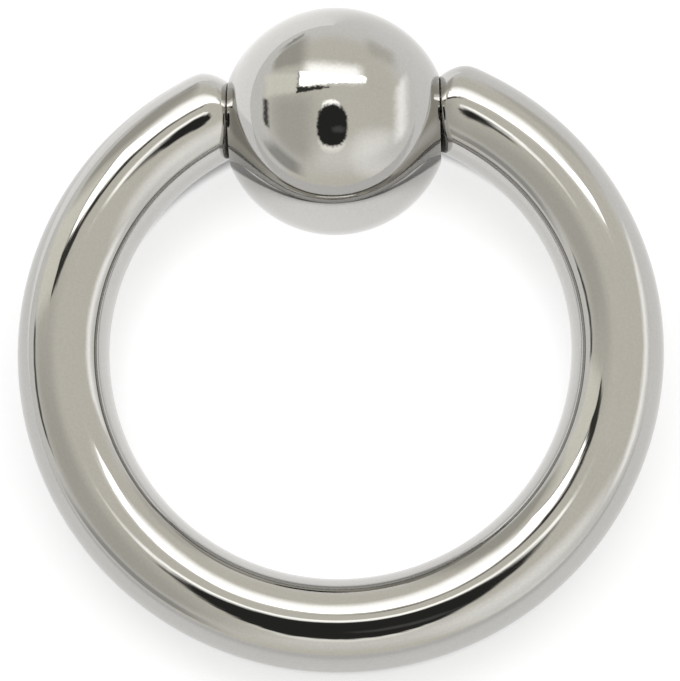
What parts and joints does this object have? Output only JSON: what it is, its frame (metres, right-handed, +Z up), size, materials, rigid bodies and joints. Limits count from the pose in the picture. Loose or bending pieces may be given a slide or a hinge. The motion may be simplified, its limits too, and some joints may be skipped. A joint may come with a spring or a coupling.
{
  "type": "captive bead ring",
  "caption": "Body jewellery ring of thick round steel wire, open at one side, with a turning bead held between its rounded ends.",
  "frame": {"origin": "on the resting surface, under the middle of the ring's bounding box", "axes": "+Z up from the resting surface, +Y from the hoop's far side towards the bead, +X along the line that the bead turns about"},
  "size_m": [0.0168, 0.0174, 0.006],
  "materials": {
    "hoop_steel": "mirror-polished surgical steel",
    "bead_steel": "mirror-polished surgical steel"
  },
  "bodies": {
    "hoop": {"hoop": "hoop_steel"},
    "bead": {"bead": "bead_steel"}
  },
  "joints": [
    {"name": "bead_turn", "type": "hinge", "parent": "hoop", "child": "bead", "pos_m": [0, 0.00568, 0.003], "axis": [1, 0, 0], "continuous": true}
  ]
}
